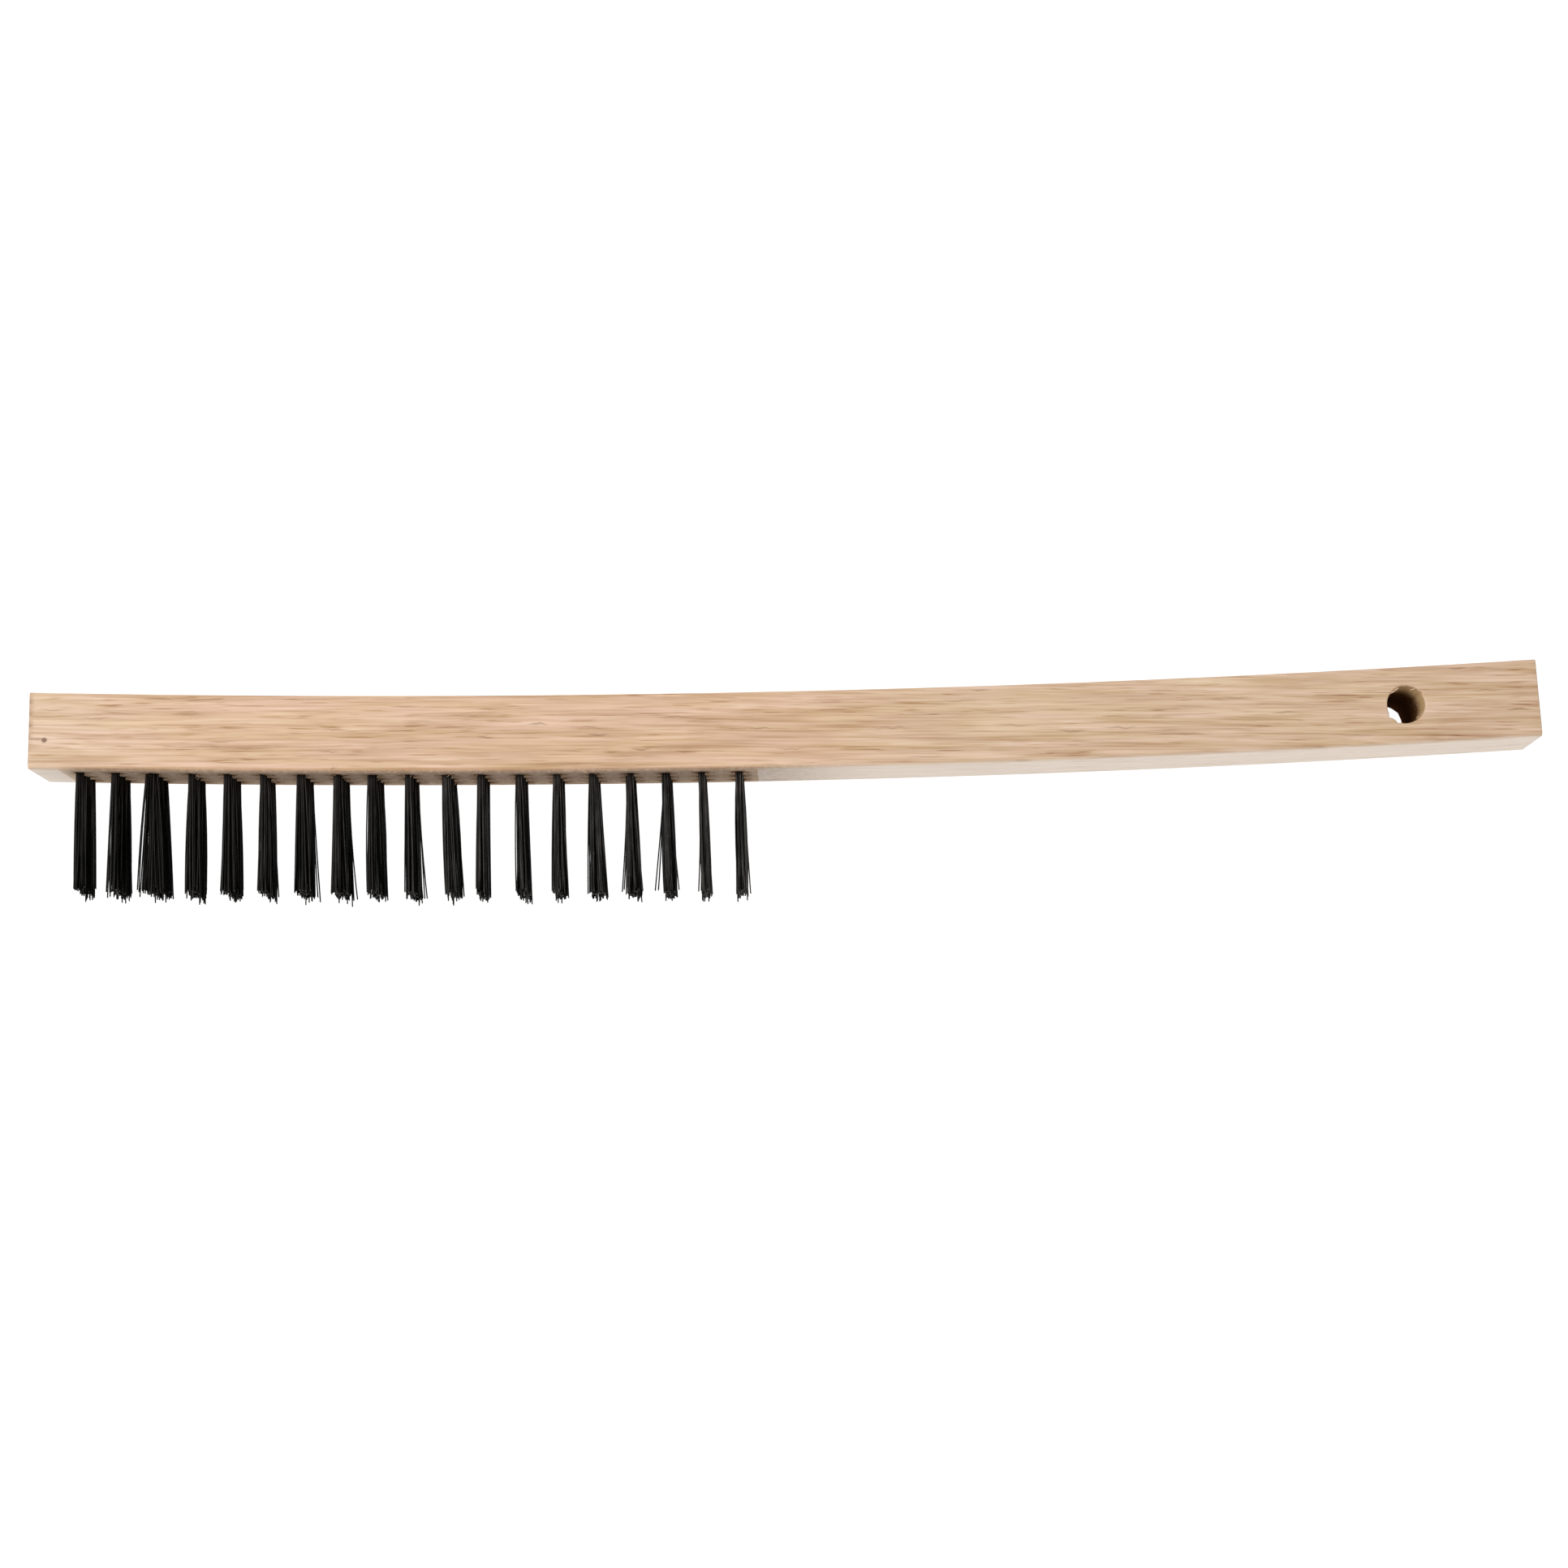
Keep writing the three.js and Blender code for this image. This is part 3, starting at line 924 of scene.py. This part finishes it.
def torn_fibres():
    """Slivers that the drills and the plane have raised: round the tuft holes' mouths, across
    the hang hole's upper rim, and along the block's front edge."""
    rng = np.random.default_rng(SEED + 1)
    starts, ahead, lengths, radius = [], [], [], []

    def add(start, direction, length, thick):
        starts.append(start)
        ahead.append(np.array(direction) / np.linalg.norm(direction))
        lengths.append(length * MM)
        radius.append(thick * MM)

    for row in range(len(ROWS)):
        for column in range(COLUMNS):
            for _ in range(rng.integers(1, 4)):
                angle = rng.uniform(-0.9, 0.9) + (math.pi if rng.random() < 0.4 else 0)
                rim = TUFT_HOLE_RADIUS * rng.uniform(0.96, 1.1)
                along = drilled_along(column) + rim * math.cos(angle)
                up = tuft_up(row) + rim * math.sin(angle)
                towards = -math.copysign(1.0, math.cos(angle))
                direction = (towards, rng.uniform(0.2, 1.0), rng.normal(0, 0.25))
                length, thick = rng.uniform(0.5, 1.2), rng.uniform(0.05, 0.10)
                add((along, HALF - 0.06 * MM, up), direction, length, thick)
    rim = HANG_HOLE_RADIUS + 0.15 * MM
    for angle in (1.75, 1.9, 2.05, 2.2, 2.35, 2.5, -0.55, -0.75, 0.9):
        along = HANG_HOLE_ALONG + UPPER_MOUTH_OFF[0] + rim * math.cos(angle)
        out = UPPER_MOUTH_OFF[1] - rim * math.sin(angle)
        towards = -math.copysign(1.0, math.cos(angle))
        direction = (towards, rng.normal(0, 0.2), rng.uniform(-0.12, 0.25))
        length, thick = rng.uniform(0.9, 2.1), rng.uniform(0.10, 0.18)
        add((along, out, BAR_WIDTH - 0.12 * MM), direction, length, thick)
    for along in rng.uniform(70, 130, 7) * MM:
        direction = (rng.choice([-1, 1]), rng.normal(0, 0.2), rng.uniform(0.0, 0.3))
        add((along, HALF - 0.35 * MM, BAR_WIDTH - 0.36 * MM), direction, rng.uniform(1.0, 2.4), 0.09)
    points, faces = slivers(np.array(starts), np.array(ahead), np.array(lengths), np.array(radius), rng)
    bent = on_bar(points[:, 0], points[:, 1], points[:, 2])
    fibres = make_piece("torn_fibres", bent, faces.tolist(), [HARDWOOD], weld=True)
    for name in ("end_grain", "tufted_face", "painted_shade"):
        store_on_points(fibres.data, name, np.zeros(len(fibres.data.vertices)))
    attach(fibres, "root")
    return fibres


# ---------------------------------------------------------------- the wire tufts
WIRES_PER_TUFT = 16  # each folded in half, so twice as many ends show
WIRE_SIDES = 5
LEG = np.array([28.0, 24.5, 19.0, 13.0, 7.0, 1.5, -3.0, -8.4]) * MM  # out from the tufted face
FOLD_DEPTH = 10.2 * MM
PACKED_RADIUS = 0.93 * MM
TIP_SPREAD = 1.72
CLUMPS = 5


def packed_disc(count, radius):
    """Evenly spread places in a disc: the n-th lies at the root of its share of the area, a
    golden angle on from the one before."""
    n = np.arange(count)
    distance = radius * np.sqrt((n + 0.5) / count)
    angle = n * math.pi * (3 - math.sqrt(5))
    return np.stack([distance * np.cos(angle), distance * np.sin(angle)], axis=1)


def gathered(tips, rng):
    """Tips drawn a third of the way to the nearest of a few clump centres."""
    centres = tips[rng.choice(len(tips), CLUMPS, replace=False)]
    apart = np.linalg.norm(tips[:, None] - centres[None], axis=2)
    return tips + 0.38 * (centres[apart.argmin(axis=1)] - tips)


def leg_lines(mouth, side, splay, lean, rng):
    """The middle lines of one side's legs, as leg x station of (along, out, up) about the
    hole's mouth: a straight line from the leg's place in the mouth to its tip, a bow added in
    the middle of it, and inside the hole a bend over to its own side of the anchor."""
    count = len(mouth)
    tips = gathered(mouth * TIP_SPREAD * splay, rng)
    tips = tips + rng.normal(0, 0.13 * MM, tips.shape) + lean
    share = np.clip(LEG / TRIM, -0.1, 1)[None, :, None]
    bow = rng.normal(0, 0.16 * MM, (count, 1, 2)) * np.clip(share * (1 - share), 0, 1) * 4
    place = mouth[:, None, :] * (1 - share) + tips[:, None, :] * share + bow
    slot = np.linspace(-0.62, 0.62, count) * MM
    layer = (np.arange(count) % 2) * 0.28 * MM
    place[:, -1, 0] = slot
    place[:, -1, 1] = side * (0.42 * MM + layer)
    length = 0.994 + rng.normal(0, 0.015, count)
    length += rng.choice([0, 0.05, -0.05], count, p=[0.90, 0.05, 0.05])
    out = LEG[None, :] * np.where(LEG > 0, length[:, None], 1)
    return np.stack([place[..., 0], out, place[..., 1]], axis=-1), slot, layer


def wire_paths(fullness, splay, lean, rng):
    """The middle lines of one tuft's folded wires: a leg on the upper side of the anchor, the
    fold under it, and the leg on the lower side."""
    packed = packed_disc(2 * WIRES_PER_TUFT, PACKED_RADIUS * fullness)
    by_height = np.argsort(-packed[:, 1])
    legs = []
    for chosen, side in ((by_height[:WIRES_PER_TUFT], 1), (by_height[WIRES_PER_TUFT:], -1)):
        mouth = packed[chosen]
        mouth = mouth[np.argsort(mouth[:, 0])]
        lines, slot, layer = leg_lines(mouth, side, splay, lean, rng)
        legs.append(lines)
    fold = np.stack([slot, -(FOLD_DEPTH - layer), np.zeros_like(slot)], axis=1)[:, None, :]
    return np.concatenate([legs[0], fold, legs[1][:, ::-1]], axis=1)


def let_stray(paths, strays, rng):
    """Some of the outermost wires spring away from the tuft: past a knee, a leg is pushed
    sideways by a power of the distance from it, so that its tip lands push beyond the rest."""
    parts = (slice(0, len(LEG)), slice(len(LEG) + 1, None))
    legs = [(wire, part) for wire in range(len(paths)) for part in parts]
    tips = np.array([paths[wire, part][:, 0][np.argmax(paths[wire, part][:, 1])] for wire, part in legs])
    taken = {1: 0, -1: 0}
    for push in strays:
        way = 1 if push > 0 else -1
        order = np.argsort(-way * tips)
        wire, part = legs[order[taken[way]]]
        edge = tips[order[3]]
        taken[way] += 1
        leg = paths[wire, part]
        beyond = np.clip((leg[:, 1] - 5 * MM) / (TRIM - 5 * MM), 0, None)
        tip_now = leg[np.argmax(leg[:, 1]), 0]
        leg[:, 0] += (edge + push * MM - tip_now) * beyond ** 1.2
        leg[:, 2] += rng.normal(0, 0.25) * MM * beyond


def swept_wires(paths, rng):
    """A round wire carried along each path: at each station a ring in the plane square to the
    path, and at both tips a slanted cut closed by one face."""
    wires, steps = paths.shape[:2]
    ahead = np.gradient(paths, axis=1)
    ahead /= np.linalg.norm(ahead, axis=2, keepdims=True)
    side = np.array([1.0, 0, 0]) - ahead * ahead[..., :1]
    side /= np.linalg.norm(side, axis=2, keepdims=True)
    other = np.cross(ahead, side)
    angle = np.arange(WIRE_SIDES) / WIRE_SIDES * 2 * math.pi
    ring = side[:, :, None] * np.cos(angle)[:, None] + other[:, :, None] * np.sin(angle)[:, None]
    points = paths[:, :, None] + WIRE_RADIUS * ring
    for tip in (0, -1):
        slant = rng.uniform(-1.0, 1.0, (wires, 1)) * np.cos(angle + rng.uniform(0, 6, (wires, 1)))
        points[:, tip] += ahead[:, tip, None] * (slant * WIRE_RADIUS)[..., None]
    one = grid_quads(steps, WIRE_SIDES, closed=True)
    start = np.arange(wires) * steps * WIRE_SIDES
    quads = (one[None] + start[:, None, None]).reshape(-1, 4)
    first = (np.arange(WIRE_SIDES)[::-1] + start[:, None]).tolist()
    last = (np.arange(WIRE_SIDES) + start[:, None] + (steps - 1) * WIRE_SIDES).tolist()
    tone = np.repeat(rng.random(wires), steps * WIRE_SIDES)
    return points.reshape(-1, 3), quads[:, ::-1].tolist(), first + last, tone


def anchor_plate():
    """The flat wire driven across the fold: a plain bar with its four long edges eased."""
    half_a, half_u, ease = 1.0 * MM, 0.22 * MM, 0.06 * MM
    top, bottom = -7.7 * MM, -9.75 * MM
    outline = np.array([
        [top, -half_u + ease], [top, half_u - ease], [top - ease, half_u], [bottom + ease, half_u],
        [bottom, half_u - ease], [bottom, ease - half_u], [bottom + ease, -half_u], [top - ease, -half_u],
    ])
    rings = np.concatenate([np.insert(outline, 0, end, axis=1) for end in (-half_a, half_a)])
    quads = grid_quads(2, len(outline), closed=True).tolist()
    caps = [list(range(len(outline)))[::-1], list(range(len(outline), 2 * len(outline)))]
    return rings, quads + caps


# The tufts with the widest stray wires: (row, column) and how far towards the handle each one's
# tip stands beyond the others, in millimetres. Some other tufts have one, drawn at random.
STRAY_WIRES = {
    ("c", 7): (1.1, 0.7),
    ("c", 10): (1.1, 0.7),
    ("a", 16): (-1.4, 1.2, -0.9),
    ("a", 17): (-2.3, -1.6, 1.2),
}
STRAY_CHANCE = 0.35


def wire_tuft(row, column, rng):
    name = f"{ROWS[row]}{column + 1:02d}"
    fullness = COLUMN_FULLNESS[column] * (1 + 0.05 * rng.normal())
    # The trim leans towards the handle, most at the nose.
    lean_along = 1.35 - 0.65 * column / (COLUMNS - 1) + 0.18 * rng.normal() + COLUMN_LEAN[column]
    lean = np.array([lean_along, 0.22 * rng.normal()]) * MM
    paths = wire_paths(fullness, COLUMN_SPLAY[column], lean, rng)
    chance = rng.uniform(-0.9, 0.9, int(rng.random() < STRAY_CHANCE))
    let_stray(paths, STRAY_WIRES.get((ROWS[row], column + 1), chance), rng)
    points, quads, cuts, tone = swept_wires(paths, rng)
    plate, plate_faces = anchor_plate()
    plate_faces = [[i + len(points) for i in face] for face in plate_faces]
    local = np.concatenate([points, plate])
    # The tuft stands square to the bend at its hole, so its own out axis is straight.
    along = drilled_along(column)
    turn = (along - NOSE_TO_LOW_POINT) / BEND_RADIUS
    placed = on_bar(along, HALF, tuft_up(row)) + np.stack([
        local[:, 0] * math.cos(turn) + local[:, 1] * math.sin(turn),
        local[:, 0] * math.sin(turn) - local[:, 1] * math.cos(turn),
        local[:, 2],
    ], axis=1)
    faces = quads + cuts + plate_faces
    kinds = np.repeat([0, 1], [len(quads), len(faces) - len(quads)])
    tuft = make_piece(f"tuft_{name}", placed, faces, [WIRE, CUT_STEEL], kinds, sharp=60)
    store_on_points(tuft.data, "wire_tone", np.concatenate([tone, np.zeros(len(plate))]))
    store_on_points(tuft.data, "by_the_wood", 1 - rise(local[:, 1], 0.3 * MM, 2 * MM))
    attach(tuft, "root")
    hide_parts(f"wire_tuft_{name}")
    return tuft


# ---------------------------------------------------------------- the surroundings
CAMERA_PLACE = (8.5 * MM, -109.7 * MM, 763.5 * MM)
CAMERA_TILT = 8.255  # degrees from straight down, towards +Y
CAMERA_ROLL = 0.649
CAMERA_LENS = 73.3
FLOOR_SIZE = 6.0
KEY_PLACE = (-0.9, 0.15, 1.4)
KEY_SIZE, KEY_POWER = 0.7, 15.2
SKY_STRENGTH = 0.65


def add_camera():
    camera = bpy.data.objects.new("camera", bpy.data.cameras.new("camera"))
    camera.data.lens = CAMERA_LENS
    camera.data.sensor_width = 36
    camera.location = CAMERA_PLACE
    camera.rotation_euler = (math.radians(CAMERA_TILT), math.radians(CAMERA_ROLL), 0)
    camera.data.clip_start, camera.data.clip_end = 0.05, 20
    bpy.context.scene.collection.objects.link(camera)
    bpy.context.scene.camera = camera


def add_floor():
    """A white table top at the height that the brush lies on."""
    half = FLOOR_SIZE / 2
    points = np.array([[-half, -half, 0], [half, -half, 0], [half, half, 0], [-half, half, 0]])
    material, _, shader = new_material("white table")
    shader.inputs["Base Color"].default_value = (0.12, 0.12, 0.12, 1)
    shader.inputs["Roughness"].default_value = 0.9
    shader.inputs["Emission Color"].default_value = (1, 1, 1, 1)
    shader.inputs["Emission Strength"].default_value = 1.0
    floor = make_piece("table", points, [[0, 1, 2, 3]], [material])


def add_light():
    """A square soft light that looks at the middle of the brush."""
    lamp = bpy.data.lights.new("key", "AREA")
    lamp.size, lamp.energy = KEY_SIZE, KEY_POWER
    light = bpy.data.objects.new("key", lamp)
    light.location = KEY_PLACE
    light.rotation_euler = (-light.location).to_track_quat("-Z", "Y").to_euler()
    bpy.context.scene.collection.objects.link(light)


def add_surroundings():
    world = bpy.data.worlds.new("studio")
    world.use_nodes = True
    sky = world.node_tree.nodes["Background"].inputs
    sky["Color"].default_value = (1, 1, 1, 1)
    sky["Strength"].default_value = SKY_STRENGTH
    bpy.context.scene.world = world
    bpy.context.scene.view_settings.view_transform = "Standard"
    add_floor()
    add_light()
    add_camera()


add_surroundings()
handle_block()
torn_fibres()
tuft_rng = np.random.default_rng(SEED)
for tuft_row in range(len(ROWS)):
    for tuft_column in range(COLUMNS):
        wire_tuft(tuft_row, tuft_column, tuft_rng)
